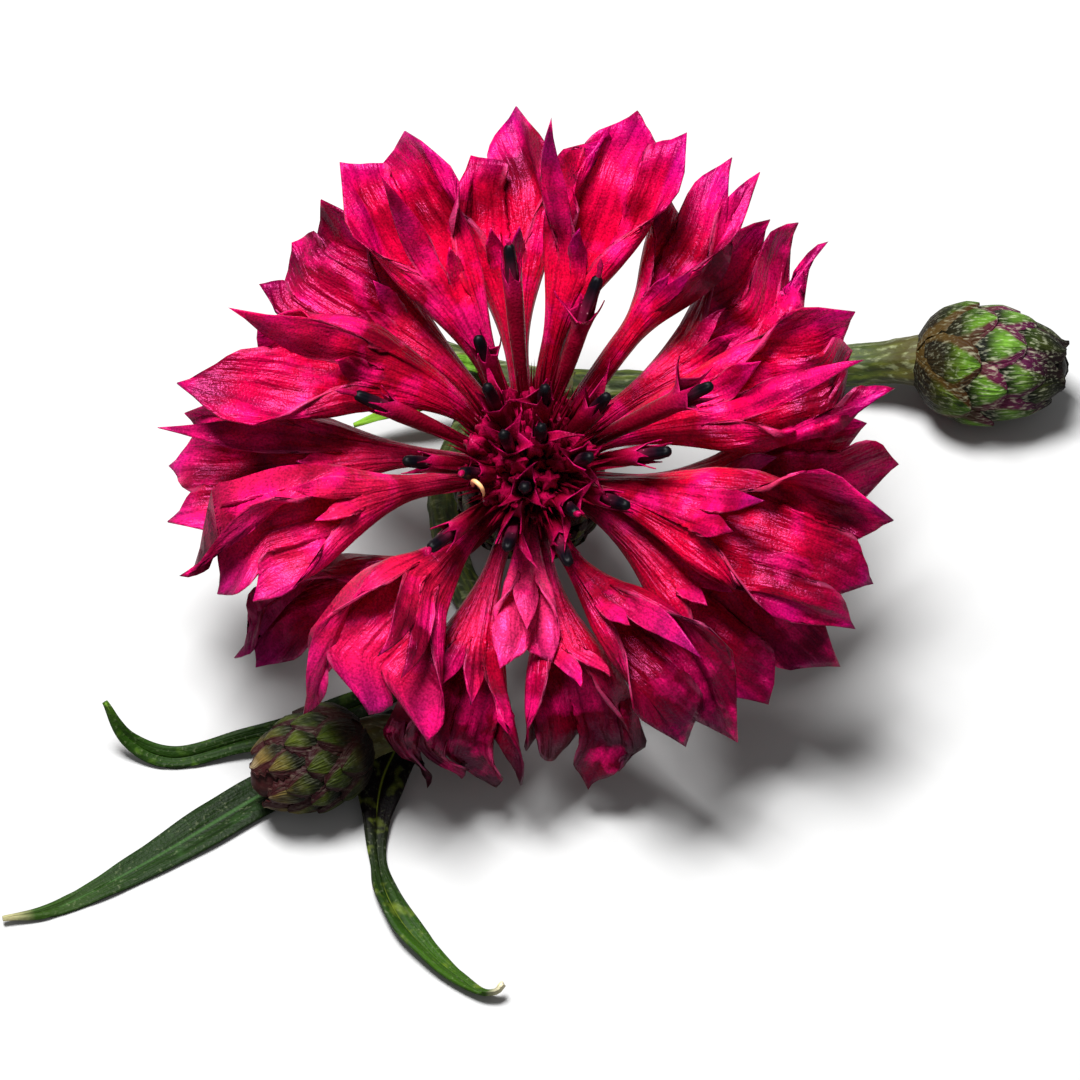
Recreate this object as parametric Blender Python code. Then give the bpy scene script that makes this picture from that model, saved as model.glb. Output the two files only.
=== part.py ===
"""Cornflower sprig: an open double flower head, two closed buds and their leaves, picked and laid down.

Metres, +Z up. The sprig lies on the surface z = 0. The face of the open head leans towards -Y, the
right bud points along +X behind the head, and the left bud points away to -X in front of it. The
origin is the middle of the bottom of the bounding box.
"""

import math

import bmesh
import bpy
from mathutils import Matrix, Vector

MM = 0.001

# Driving dimensions of the open head
HEAD_MIDDLE = Vector((0, -0.9, 13.6)) * MM
HEAD_TILT = math.radians(25)
PETAL_THICKNESS = 0.28 * MM
TOUCH_GAP = 0.3 * MM

# Driving dimensions of the green parts
STEM_RADIUS = 1.35 * MM
BRANCH_RADIUS = 1.0 * MM
LEAF_THICKNESS = 0.35 * MM
RIGHT_BUD_LENGTH, RIGHT_BUD_RADIUS = 9.2 * MM, 3.65 * MM
LEFT_BUD_LENGTH, LEFT_BUD_RADIUS = 8.0 * MM, 2.9 * MM
INVOLUCRE_LENGTH, INVOLUCRE_RADIUS = 10.2 * MM, 4.4 * MM

# Ray florets stand in two tiers, so that neighbours pass over each other
LOW, HIGH = 2, 21
RAY_BASE_RADIUS = 2.75 * MM
RAY_TUBE_RADIUS = 0.36 * MM
RAY_BASE_HEIGHT = 0.45 * MM
RAY_BASE_STEEPER = 26  # degrees that a tube leaves the receptacle more steeply than its tier
LOBES = 7
RAY_SHARES = (0, 0.1, 0.2, 0.3, 0.4, 0.5, 0.61)  # rings along a floret, below the cuts between its lobes
LOBE_SHARES = ((0.86, 0.72), (1.0, 0.8))  # rings through the lobes, at a lobe's middle and at a cut
HOLLOW_START = 0.5  # where the solid stalk turns into a trumpet
PATH_STEPS = 60

# azimuth of the base, azimuth of the tip, tier, bend down of the tip (degrees), reach, half width
RAY_FLORETS = [
    (51, 52, 15, 14, 22.8, 4.6),
    (36, 32, LOW, 12, 22.4, 4.3),
    (18, 13, 17, 24, 22.5, 4.2),
    (-2, -2, LOW - 3, 14, 22.6, 4.4),
    (-17, -20, HIGH, 34, 21.9, 4.5),
    (-35, -38, LOW, 36, 21.6, 4.5),
    (-56, -54, HIGH, 52, 20.6, 4.2),
    (-74, -73, LOW - 2, 66, 20.0, 4.2),
    (-92, -91, HIGH, 66, 19.4, 3.8),
    (-109, -107, LOW - 2, 64, 20.6, 4.0),
    (-128, -130, HIGH, 54, 20.2, 4.4),
    (-143, -147, LOW, 34, 21.3, 4.3),
    (-166, -164, HIGH, 36, 21.9, 4.4),
    (176, 179, LOW, 14, 22.5, 4.6),
    (141, 159, HIGH, 22, 22.2, 4.5),
    (127, 139, LOW, 10, 22.0, 4.5),
    (113, 117, HIGH - 2, 18, 22.2, 4.4),
    (97, 96, LOW, 8, 22.8, 4.4),
    (80, 74, HIGH + 3, 16, 22.5, 4.8),
]

# azimuth (degrees), reach of the tip from the axis, height of the tip above the receptacle
DISC_FLORETS = [
    (40, 0.9, 11.0),
    (172, 1.6, 10.6),
    (-96, 3.0, 10.2),
    (73, 3.2, 10.6),
    (-17, 3.8, 10.2),
    (128, 4.2, 9.8),
    (-154, 4.5, 9.7),
    (30, 5.4, 9.8),
    (-58, 5.2, 9.4),
    (-33, 7.0, 8.6),
    (-72, 7.6, 7.9),
    (-102, 6.6, 8.8),
    (-133, 8.8, 8.6),
    (-172, 7.6, 8.6),
    (163, 11.0, 7.6),
    (116, 7.2, 9.0),
    (96, 12.2, 9.0),
    (68, 11.0, 8.8),
    (17, 11.4, 9.8),
    (-3, 8.4, 8.4),
]
DISC_BASE_RADIUS = 2.0 * MM
DISC_BASE_HEIGHT = 0.8 * MM
# share of the length, radius: a thin tube, a wider throat, then the column of anthers
DISC_OUTLINE = [(0, 0.24), (0.35, 0.3), (0.58, 0.58), (0.7, 0.62), (0.78, 0.45), (0.97, 0.4), (1, 0.2)]

# Outlines of the turned pieces: share of the length from the stalk, share of the largest radius
BUD_OUTLINE = [
    (0, 0.4), (0.05, 0.62), (0.16, 0.88), (0.34, 1), (0.55, 0.95), (0.74, 0.76), (0.88, 0.55), (1, 0.3),
]
INVOLUCRE_OUTLINE = [
    (0, 0.3), (0.05, 0.42), (0.16, 0.68), (0.34, 0.92), (0.52, 1), (0.72, 0.96), (0.88, 0.86), (1, 0.8),
]
TURNED_SEGMENTS = 14

# Places of the green parts on the surface, in millimetres
RIGHT_BUD_BASE, RIGHT_BUD_TIP = (24.4, 14.8, 3.6), (33.6, 13.8, 4.1)
LEFT_BUD_BASE, LEFT_BUD_TIP = (-9.9, -14.0, 3.9), (-16.9, -17.2, 3.5)
MAIN_STEM_ROUTE = [(-12.5, 19.7, 1.4), (-7, 17, 1.35), (-1.8, 14.7, 1.35), (3, 14, 1.45)]
RIGHT_BRANCH_ROUTE = [
    (3.5, 13.95, 1.5), (10, 13.9, 1.5), (16, 14.9, 1.8), (20.8, 15.15, 2.7), (24.1, 14.85, 3.5),
]
LEFT_BRANCH_ROUTE = [
    (-3.4, 12.9, 1), (-5.4, 7, 1), (-4.7, 1, 1), (-3.2, -3.6, 1.05), (-4.3, -9, 1.7), (-6.9, -12.4, 3),
    (-9.6, -13.85, 3.8),
]
PEDUNCLE_ROUTE = [(0.7, 12, 1.6), (0.6, 9.2, 1.2), (0.3, 6.9, 1.35), (0.08, 5.2, 2.1), (0, 4.3, 3)]

# route (mm), half width (mm), turn of the blade about its route at the base and tip (degrees)
LEAVES = {
    "leaf_long": (
        [(-8.2, -10.2, 0.4), (-14.1, -14.4, 0.35), (-17.4, -16.6, 0.35), (-23.1, -20.7, 0.35),
         (-28.4, -24, 0.4), (-31.8, -25, 0.8)],
        1.75, 0, 0,
    ),
    "leaf_curled": (
        [(-7.1, -8.4, 1.3), (-10.5, -10, 1.4), (-14.1, -11.6, 1.3), (-17.8, -12.4, 1), (-21.8, -13.3, 0.6),
         (-24.5, -12.6, 1.5), (-26, -11.4, 3.9)],
        1.15, 0, 40,
    ),
    "leaf_twisted": (
        [(-7, -14.2, 1.4), (-9, -15.8, 0.9), (-9.5, -18, 0.7), (-8.8, -21.4, 0.6), (-7.7, -25.1, 0.7),
         (-5.4, -28, 0.6), (-1.9, -30.8, 0.8)],
        1.35, 0, 75,
    ),
    "leaf_back_left": ([(-1.9, 12.4, 2.9), (-5, 12.8, 3.4), (-8.6, 12.6, 2.7), (-11.6, 12.2, 1.9)], 0.6, 0, 0),
    "leaf_back_top": ([(-2.2, 14.2, 3.1), (-4, 14.4, 3.8), (-5.6, 14.4, 4.2), (-7, 14.1, 4.4)], 0.55, 0, 0),
    "leaf_back_right": ([(9.8, 12.1, 2.2), (8.2, 11.9, 2.5), (7, 11.4, 2.6), (5.8, 10.7, 2.4)], 0.6, 0, 0),
}
LEAF_ROWS = 14
LEAF_FOLD = 0.22  # rise of the edges over the midrib, as a share of the half width


def clear_scene():
    for obj in list(bpy.data.objects):
        bpy.data.objects.remove(obj, do_unlink=True)


def material(name, colour, roughness):
    mat = bpy.data.materials.new(name)
    mat.use_nodes = True
    shader = mat.node_tree.nodes["Principled BSDF"]
    shader.inputs["Base Color"].default_value = (*colour, 1)
    shader.inputs["Roughness"].default_value = roughness
    shader.inputs["Metallic"].default_value = 0
    mat.diffuse_color = (*colour, 1)
    return mat


def ramp(low, high, value):
    """0 below low, 1 above high, and a smooth rise between."""
    share = min(max((value - low) / (high - low), 0), 1)
    return share * share * (3 - 2 * share)


def smooth_route(points, steps):
    """Points along a Catmull-Rom curve through the route, evenly shared between its stretches."""
    ends = [2 * points[0] - points[1], *points, 2 * points[-1] - points[-2]]
    curve = []
    for step in range(steps + 1):
        at = step / steps * (len(points) - 1)
        first = min(int(at), len(points) - 2)
        t = at - first
        p0, p1, p2, p3 = ends[first : first + 4]
        curve.append(
            0.5
            * (
                2 * p1
                + (p2 - p0) * t
                + (2 * p0 - 5 * p1 + 4 * p2 - p3) * t * t
                + (3 * p1 - p0 - 3 * p2 + p3) * t * t * t
            )
        )
    return curve


def in_metres(route):
    return [Vector(point) * MM for point in route]


def add_object(name, data, mat, parent):
    obj = bpy.data.objects.new(name, data)
    bpy.context.scene.collection.objects.link(obj)
    data.materials.append(mat)
    obj.parent = parent
    return obj


def mesh_from(bm, name):
    bmesh.ops.recalc_face_normals(bm, faces=bm.faces)
    mesh = bpy.data.meshes.new(name)
    bm.to_mesh(mesh)
    bm.free()
    mesh.shade_smooth()
    return mesh


def add_solidify(obj, thickness, offset):
    solidify = obj.modifiers.new("thickness", "SOLIDIFY")
    solidify.thickness = thickness
    solidify.offset = offset


def sheet(rows, closed_across):
    """A bmesh of quads through rows of points."""
    bm = bmesh.new()
    grid = [[bm.verts.new(point) for point in row] for row in rows]
    columns = len(grid[0])
    last = columns if closed_across else columns - 1
    for below, above in zip(grid, grid[1:]):
        for column in range(last):
            beside = (column + 1) % columns
            bm.faces.new((below[column], below[beside], above[beside], above[column]))
    return bm


def tube(name, points, radii, mat, parent, bevel_resolution):
    """A round tube with filled ends through the points, with its own radius at each."""
    curve = bpy.data.curves.new(name, "CURVE")
    curve.dimensions = "3D"
    curve.bevel_depth = 1
    curve.bevel_resolution = bevel_resolution
    curve.use_fill_caps = True
    spline = curve.splines.new("POLY")
    spline.points.add(len(points) - 1)
    for spot, point, radius in zip(spline.points, points, radii):
        spot.co = (*point, 1)
        spot.radius = radius
    spline.use_smooth = True
    return add_object(name, curve, mat, parent)


def turned_solid(name, outline, length, radius, base, direction, mat, parent):
    """A closed solid turned about the line that leaves base along direction."""
    to_axis = direction.to_track_quat("Z", "Y").to_matrix().to_4x4()
    place = Matrix.Translation(base) @ to_axis
    rings = []
    for along, out in outline:
        ring = []
        for segment in range(TURNED_SEGMENTS):
            angle = 2 * math.pi * segment / TURNED_SEGMENTS
            local = (out * radius * math.cos(angle), out * radius * math.sin(angle), along * length)
            ring.append(place @ Vector(local))
        rings.append(ring)
    bm = sheet(rings, closed_across=True)
    bm.verts.ensure_lookup_table()
    bm.faces.new([bm.verts[i] for i in reversed(range(TURNED_SEGMENTS))])
    bm.faces.new([bm.verts[i - TURNED_SEGMENTS] for i in range(TURNED_SEGMENTS)])
    obj = add_object(name, mesh_from(bm, name), mat, parent)
    obj.data.set_sharp_from_angle(angle=math.radians(50))
    return obj


def ray_path(base_azimuth, tip_azimuth, tier, droop, reach):
    """Points and directions along the middle of a ray floret, in the frame of the head."""

    def slope(share):
        steeper = RAY_BASE_STEEPER * (1 - ramp(0, 0.42, share))
        return math.radians(tier + steeper - droop * ramp(0.45, 1, share))

    radius_run = sum(math.cos(slope(i / PATH_STEPS)) for i in range(PATH_STEPS)) / PATH_STEPS
    length = (reach - RAY_BASE_RADIUS) / radius_run
    radius, height, points = RAY_BASE_RADIUS, RAY_BASE_HEIGHT, []
    for i in range(PATH_STEPS + 1):
        share = i / PATH_STEPS
        azimuth = math.radians(base_azimuth + (tip_azimuth - base_azimuth) * ramp(0, 0.8, share))
        points.append(Vector((radius * math.cos(azimuth), radius * math.sin(azimuth), height)))
        radius += math.cos(slope(share)) * length / PATH_STEPS
        height += math.sin(slope(share)) * length / PATH_STEPS
    return points


def path_frame(points, share):
    """The point on the path and the directions along, across and above it there."""
    at = share * (len(points) - 1)
    first = min(int(at), len(points) - 2)
    point = points[first].lerp(points[first + 1], at - first)
    along = (points[first + 1] - points[first]).normalized()
    across = along.cross(Vector((0, 0, 1))).normalized()
    return point, along, across, across.cross(along)


def ray_ring(points, half_width, shares, inset):
    """One ring round a ray floret, drawn in by the inset, with each point at its own share of the way."""
    ring = []
    for column, share in enumerate(shares):
        opened = ramp(0.2, 0.86, share)
        wide = RAY_TUBE_RADIUS + (half_width - RAY_TUBE_RADIUS) * opened - inset
        deep = RAY_TUBE_RADIUS + (0.3 * half_width - RAY_TUBE_RADIUS) * opened - inset
        point, _, across, above = path_frame(points, share)
        angle = math.pi * column / LOBES
        ring.append(point + across * wide * math.sin(angle) + above * deep * math.cos(angle))
    return ring


def ray_wall(bm, lower, upper):
    """Triangles between two rings, cut the same way in both walls so that they stay parallel."""
    for column in range(0, 2 * LOBES, 2):
        for beside in (column - 1, column + 1):
            bm.faces.new((lower[column], upper[beside], lower[beside]))
            bm.faces.new((lower[column], upper[column], upper[beside]))


def ray_floret(name, row, mat, parent):
    """A thin solid stalk that opens into a flattened trumpet; every other point of its rim is a lobe's tip."""
    base_azimuth, tip_azimuth, tier, droop, reach, half_width = row
    points = ray_path(base_azimuth, tip_azimuth, tier, droop, reach * MM)
    shares = [[share] * 2 * LOBES for share in RAY_SHARES] + [pair * LOBES for pair in LOBE_SHARES]
    bm = bmesh.new()
    outer = [[bm.verts.new(point) for point in ray_ring(points, half_width * MM, ring, 0)] for ring in shares]
    inner = [[bm.verts.new(point) for point in ray_ring(points, half_width * MM, ring, PETAL_THICKNESS)]
             for ring in shares if min(ring) >= HOLLOW_START]
    for rings in (outer, inner, (outer[-1], inner[-1])):
        for lower, upper in zip(rings, rings[1:]):
            ray_wall(bm, lower, upper)
    bm.faces.new(outer[0])
    bm.faces.new(inner[0])
    add_object(name, mesh_from(bm, name), mat, parent)


def disc_floret(name, row, mat, parent):
    """A slender tube floret that leans out from the middle of the head."""
    azimuth, reach, height = row
    out = Vector((math.cos(math.radians(azimuth)), math.sin(math.radians(azimuth)), 0))
    base_radius = DISC_BASE_RADIUS * min(reach / 8, 1) ** 0.6
    base = out * base_radius + Vector((0, 0, DISC_BASE_HEIGHT))
    tip = out * reach * MM + Vector((0, 0, height * MM))
    knee = base.lerp(tip, 0.45) + Vector((0, 0, 0.1 * reach * MM))
    shares = [share for share, _ in DISC_OUTLINE]
    points = [base * (1 - s) ** 2 + knee * 2 * s * (1 - s) + tip * s * s for s in shares]
    tube(name, points, [radius * MM for _, radius in DISC_OUTLINE], mat, parent, 1)


def leaf(name, row, mat, parent):
    """A narrow blade with a shallow fold along its midrib."""
    route, half_width, base_turn, tip_turn = row
    points = smooth_route(in_metres(route), LEAF_ROWS)
    rows = []
    for step in range(LEAF_ROWS + 1):
        share = step / LEAF_ROWS
        point, along, across, above = path_frame(points, share)
        turn = Matrix.Rotation(math.radians(base_turn + (tip_turn - base_turn) * share), 3, along)
        wide = half_width * MM * (0.35 + 0.65 * ramp(0, 0.4, share)) * (1 - share**3 * 0.92)
        side = turn @ across * wide
        rise = turn @ above * wide * LEAF_FOLD
        rows.append([point - side + rise, point, point + side + rise])
    obj = add_object(name, mesh_from(sheet(rows, closed_across=False), name), mat, parent)
    add_solidify(obj, LEAF_THICKNESS, 0)


def stalk(name, route, base_radius, tip_radius, mat, parent):
    points = smooth_route(in_metres(route), 3 * (len(route) - 1))
    last = len(points) - 1
    radii = [base_radius + (tip_radius - base_radius) * i / last for i in range(len(points))]
    tube(name, points, radii, mat, parent, 2)


def bud(name, base, tip, length, radius, mat, parent):
    start, end = in_metres([base, tip])
    turned_solid(name, BUD_OUTLINE, length, radius, start, (end - start).normalized(), mat, parent)


def build_head(sprig, mats):
    head = bpy.data.objects.new("head_frame", None)
    bpy.context.scene.collection.objects.link(head)
    head.parent = sprig
    head.location = HEAD_MIDDLE
    head.rotation_euler = (HEAD_TILT, 0, 0)
    up = Vector((0, 0, 1))
    involucre_top = -1.2 * MM
    involucre_base = up * (involucre_top - INVOLUCRE_LENGTH)
    turned_solid("involucre", INVOLUCRE_OUTLINE, INVOLUCRE_LENGTH, INVOLUCRE_RADIUS, involucre_base, up,
                 mats["bract"], head)
    receptacle_outline = [(0, 1), (0.35, 0.96), (0.75, 0.7), (1, 0.3)]
    receptacle_height = DISC_BASE_HEIGHT - involucre_top - 2 * TOUCH_GAP
    turned_solid("receptacle", receptacle_outline, receptacle_height, RAY_BASE_RADIUS,
                 up * (involucre_top + TOUCH_GAP), up, mats["receptacle"], head)
    for number, row in enumerate(RAY_FLORETS, 1):
        ray_floret(f"ray_floret_{number:02d}", row, mats["ray"], head)
    for number, row in enumerate(DISC_FLORETS, 1):
        disc_floret(f"disc_floret_{number:02d}", row, mats["disc"], head)


def build_green_parts(sprig, mats):
    stalk("main_stem", MAIN_STEM_ROUTE, STEM_RADIUS, STEM_RADIUS, mats["stem"], sprig)
    stalk("right_branch", RIGHT_BRANCH_ROUTE, STEM_RADIUS, 1.3 * MM, mats["stem"], sprig)
    stalk("left_branch", LEFT_BRANCH_ROUTE, BRANCH_RADIUS, BRANCH_RADIUS, mats["stem"], sprig)
    stalk("peduncle", PEDUNCLE_ROUTE, BRANCH_RADIUS, 1.15 * MM, mats["stem"], sprig)
    bud("right_bud", RIGHT_BUD_BASE, RIGHT_BUD_TIP, RIGHT_BUD_LENGTH, RIGHT_BUD_RADIUS, mats["bract"], sprig)
    bud("left_bud", LEFT_BUD_BASE, LEFT_BUD_TIP, LEFT_BUD_LENGTH, LEFT_BUD_RADIUS, mats["bract"], sprig)
    for name, row in LEAVES.items():
        leaf(name, row, mats["leaf"], sprig)


def stand_on_origin(sprig):
    """Moves the sprig so that the middle of the bottom of its bounding box is the origin."""
    bpy.context.view_layer.update()
    graph = bpy.context.evaluated_depsgraph_get()
    points = []
    for obj in bpy.context.scene.objects:
        if obj.type == "EMPTY":
            continue
        shape = obj.evaluated_get(graph)
        mesh = shape.to_mesh()
        points += [shape.matrix_world @ vertex.co for vertex in mesh.vertices]
        shape.to_mesh_clear()
    low = Vector([min(point[axis] for point in points) for axis in range(3)])
    high = Vector([max(point[axis] for point in points) for axis in range(3)])
    sprig.location = (-(low.x + high.x) / 2, -(low.y + high.y) / 2, -low.z)


def main():
    clear_scene()
    mats = {
        "ray": material("ray_petal", (0.6, 0.005, 0.08), 0.5),
        "disc": material("disc_floret", (0.2, 0.003, 0.03), 0.5),
        "receptacle": material("receptacle", (0.3, 0.32, 0.12), 0.8),
        "bract": material("bract", (0.09, 0.13, 0.03), 0.6),
        "stem": material("stem", (0.12, 0.19, 0.05), 0.7),
        "leaf": material("leaf", (0.03, 0.11, 0.02), 0.5),
    }
    sprig = bpy.data.objects.new("sprig_frame", None)
    bpy.context.scene.collection.objects.link(sprig)
    build_head(sprig, mats)
    build_green_parts(sprig, mats)
    stand_on_origin(sprig)


main()
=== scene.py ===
import math
import random

import bpy
import numpy as np
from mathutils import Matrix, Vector, noise


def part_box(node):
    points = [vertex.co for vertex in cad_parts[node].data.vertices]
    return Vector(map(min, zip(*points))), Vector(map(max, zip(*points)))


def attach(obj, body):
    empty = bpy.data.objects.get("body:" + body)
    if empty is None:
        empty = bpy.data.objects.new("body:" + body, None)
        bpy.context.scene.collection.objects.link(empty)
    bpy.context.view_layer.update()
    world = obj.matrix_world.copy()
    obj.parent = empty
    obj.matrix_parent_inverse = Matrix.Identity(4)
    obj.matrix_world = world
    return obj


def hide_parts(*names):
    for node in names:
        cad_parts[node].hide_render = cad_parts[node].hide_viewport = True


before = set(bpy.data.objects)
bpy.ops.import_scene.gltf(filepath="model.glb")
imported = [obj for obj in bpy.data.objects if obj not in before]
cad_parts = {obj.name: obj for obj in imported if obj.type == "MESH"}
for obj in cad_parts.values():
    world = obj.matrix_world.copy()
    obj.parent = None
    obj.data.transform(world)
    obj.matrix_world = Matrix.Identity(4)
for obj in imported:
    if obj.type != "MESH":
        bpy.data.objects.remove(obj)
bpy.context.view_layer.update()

mm = 0.001
spiralTurn = 2.39996  # radians from one floret or bract to the next, as plants set them
print("frame loaded")

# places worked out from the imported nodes: the face of the head leans towards -Y
headTilt = math.radians(25)
headUp = Vector((0, -math.sin(headTilt), math.cos(headTilt)))
headBack = Vector((0, math.cos(headTilt), math.sin(headTilt)))
headInSprig = (0, -0.9, 13.6)  # mm, the middle of the head counted from the zero of the sprig
lowest = 0.15  # mm, how near to the surface the stems, buds and leaves come
start, end = (Vector(corner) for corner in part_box("receptacle"))
headMiddle = (start + end) / 2 + headUp * 0.2 * mm
sprigZero = headMiddle - Vector(headInSprig) * mm


# mm in the frame of the sprig, to metres in the shared frame; nothing goes into the surface it lies on
def fromSprig(points):
    places = np.array(sprigZero) + points * mm
    places[:, 2] = np.maximum(places[:, 2], lowest * mm)
    return places


# mm from the middle of the head along its own axes, to metres in the shared frame
def fromHead(points):
    return np.array(headMiddle) + points @ np.array([[1, 0, 0], headBack, headUp]) * mm


# 0 below low, 1 above high, and a soft step between them
def ramp(low, high, value):
    share = np.clip((value - low) / (high - low), 0, 1)
    return share * share * (3 - 2 * share)


def unit(vectors):
    return vectors / np.linalg.norm(vectors, axis=1, keepdims=True)


def linearColour(hexColour):
    values = [int(hexColour[i : i + 2], 16) / 255 for i in (1, 3, 5)]
    return [v / 12.92 if v <= 0.04045 else ((v + 0.055) / 1.055) ** 2.4 for v in values] + [1.0]


# adds a node with its settings, its inputs in their order or by name (_ for a space) and the (place, colour) stops of
# a ramp; a number is a grey there, and another node stands for its first output
def addNode(tree, kind, *inputs, stops=(), **settings):
    node = tree.nodes.new("ShaderNode" + kind)
    for name in [name for name in settings if hasattr(node, name)]:
        setattr(node, name, settings.pop(name))
    for index, (place, colour) in enumerate(stops):
        elements = node.color_ramp.elements
        stop = elements[index] if index < len(elements) else elements.new(place)
        stop.position = place
        stop.color = linearColour(colour) if isinstance(colour, str) else (colour, colour, colour, 1)
    sockets = [socket for socket in node.inputs if socket.enabled]
    named = [(node.inputs[name.replace("_", " ")], value) for name, value in settings.items()]
    for socket, value in [*zip(sockets, inputs), *named]:
        if isinstance(value, bpy.types.Node):
            value = next(output for output in value.outputs if output.enabled)
        if isinstance(value, bpy.types.NodeSocket):
            tree.links.new(value, socket)
        else:
            socket.default_value = linearColour(value) if isinstance(value, str) else value
    return node


# lays another colour over a colour by the stops of a ramp, or without another one darkens it by them
def tint(tree, colour, source, stops, other=None):
    share = addNode(tree, "ValToRGB", source, stops=stops)
    if other is None:
        return addNode(tree, "Mix", 1.0, colour, share, data_type="RGBA", blend_type="MULTIPLY")
    return addNode(tree, "Mix", share, colour, other, data_type="RGBA")


# the same by noise of a size in metres, which is handed back too
def addPatches(tree, colour, place, size, detail, stops, other=None):
    patches = addNode(tree, "TexNoise", place, 1 / size, detail)
    return tint(tree, colour, patches, stops, other), patches


# a new material; its look makes the surface from the spot on the piece in metres and the place stored on its mesh
def makeMaterial(name, look, *values):
    material = bpy.data.materials.new(name)
    material.use_nodes = True
    tree = material.node_tree
    tree.nodes.clear()
    spot = addNode(tree, "TexCoord").outputs["Object"]
    stored = addNode(tree, "Attribute", attribute_name="place").outputs["Vector"]
    place = addNode(tree, "SeparateXYZ", stored).outputs
    addNode(tree, "OutputMaterial", look(tree, spot, stored, place, *values))
    return material


def deselectAll():
    bpy.ops.object.select_all(action="DESELECT")


def makeActive(piece):
    deselectAll()
    piece.select_set(True)
    bpy.context.view_layer.objects.active = piece


def thicken(piece, thickness, offset):
    modifier = piece.modifiers.new("wall", "SOLIDIFY")
    modifier.thickness = thickness * mm
    modifier.offset = offset
    makeActive(piece)
    bpy.ops.object.modifier_apply(modifier=modifier.name)


# a grid one unit wide and high with its UV map, and the places of its points across and along
def addSheet(name, across, along):
    deselectAll()
    bpy.ops.mesh.primitive_grid_add(x_subdivisions=across, y_subdivisions=along, size=1)
    piece = bpy.context.object
    piece.name = piece.data.name = name
    coords = np.empty(len(piece.data.vertices) * 3)
    piece.data.vertices.foreach_get("co", coords)
    coords = coords.reshape(-1, 3)
    return piece, coords[:, 0] + 0.5, coords[:, 1] + 0.5


# up to three numbers for each point, which the material reads
def storePlace(piece, *parts, name="place"):
    place = piece.data.attributes.new(name, "FLOAT_VECTOR", "POINT")
    blank = np.zeros(len(piece.data.vertices))
    place.data.foreach_set("vector", np.stack([part + blank for part in (*parts, 0, 0)[:3]], axis=1).ravel())


def setPoints(piece, points, *place):
    piece.data.vertices.foreach_set("co", points.ravel())
    piece.data.update()
    storePlace(piece, *place)


def joinPieces(pieces):
    makeActive(pieces[0])
    for piece in pieces:
        piece.select_set(True)
    bpy.ops.object.join()
    return pieces[0]


# closes seams and poles, and turns the faces outwards
def turnOut(piece, merge=True):
    makeActive(piece)
    bpy.ops.object.mode_set(mode="EDIT")
    bpy.ops.mesh.select_all(action="SELECT")
    if merge:
        bpy.ops.mesh.remove_doubles(threshold=0.001 * mm)
    bpy.ops.mesh.normals_make_consistent(inside=False)
    bpy.ops.object.mode_set(mode="OBJECT")


# an edge past the angle sharp, in degrees, stays crisp; without it the piece is smooth all over
def finishPiece(piece, material, node, sharp=None):
    makeActive(piece)
    if sharp:
        bpy.ops.object.shade_smooth_by_angle(angle=math.radians(sharp))
    else:
        bpy.ops.object.shade_smooth()
    piece.data.materials.append(material)
    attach(piece, "root")
    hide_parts(node)


# one smooth noise value for each point, in -1..1
def noiseAt(points, seed):
    shift = Vector((seed * 7.31, seed * 3.17, seed * 5.71))
    return np.array([noise.noise(Vector(p) + shift) for p in points])


# a smooth line through the given points
def smoothRoute(points, steps=24):
    points = np.array(points)
    padded = np.vstack([2 * points[0] - points[1], points, 2 * points[-1] - points[-2]])
    t = np.linspace(0, 1, steps, endpoint=False)[:, None]
    line = [
        (2 * b + (c - a) * t + (2 * a - 5 * b + 4 * c - d) * t**2 + (3 * b - a - 3 * c + d) * t**3) / 2
        for a, b, c, d in zip(padded, padded[1:], padded[2:], padded[3:])
    ]
    return np.vstack(line + [points[-1:]])


def lineLength(line):
    return np.linalg.norm(np.diff(line, axis=0), axis=1).sum()


# the direction at an angle, counted from above to the right
def turned(right, above, angle):
    return right * np.sin(angle)[:, None] + above * np.cos(angle)[:, None]


# places on a line at the given shares of its length, with the directions along, across and above it
def followLine(line, share, across=None):
    lengths = np.concatenate([[0], np.cumsum(np.linalg.norm(np.diff(line, axis=0), axis=1))])

    def at(value):
        return np.stack([np.interp(value * lengths[-1], lengths, line[:, axis]) for axis in range(3)], axis=1)

    along = unit(at(np.minimum(share + 0.01, 1)) - at(np.maximum(share - 0.01, 0)))
    if across is None:
        right = unit(np.cross(along, [0, 0, 1]))
    else:
        right = unit(across - along * (along @ across)[:, None])
    return at(share), along, right, np.cross(right, along)


# a round skin about a line; size gives the radius from the share along and the angle
def addTube(name, line, size, sides, rows, across=None):
    piece, u, v = addSheet(name, sides, rows)
    angle = u * 2 * math.pi
    middle, _, right, above = followLine(line, v, across)
    outward = turned(right, above, angle)
    return piece, v, angle, middle + outward * size(v, angle)[:, None], outward


# the radius of a tube at its shares along, from (share, radius) pairs
def outlineAt(outline, share):
    return np.interp(share, *zip(*outline))


rayFloret = {
    "tubeRadius": 0.5,  # mm, the thin lower stretch
    "baseRadius": 2.75,  # mm from the axis of the head
    "baseHeight": 0.45,
    "steeperAtBase": 26,  # degrees
    "widening": 1.2,  # how far the mouth opens beyond the half width
    "flatness": 0.3,  # height of the funnel to its width
    "columnsPerLobe": 16,
    "rows": 44,
    "rowsInFunnel": 0.5,  # share of the rows
    "funnelPart": 0.42,  # share of the reach
    "outerPart": 0.8,  # how much of the rim the broad outer lip takes
    "lipsPart": 0.46,  # share of the reach where the two lips part
    "hollow": 1.5,  # mm, how far the sides of the outer lip rise
    "pleat": 0.32,  # mm, how far each lobe is folded along its middle
    "overlap": 0.38,  # mm, how far a lobe's edge lies over its neighbour
    "crumple": 0.55,  # mm
    "fray": 0.012,  # share of the reach, the ragged edge
    "thickness": 0.11,  # mm
}
low, high = 2, 21  # the two tiers, degrees above the face of the head

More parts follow.
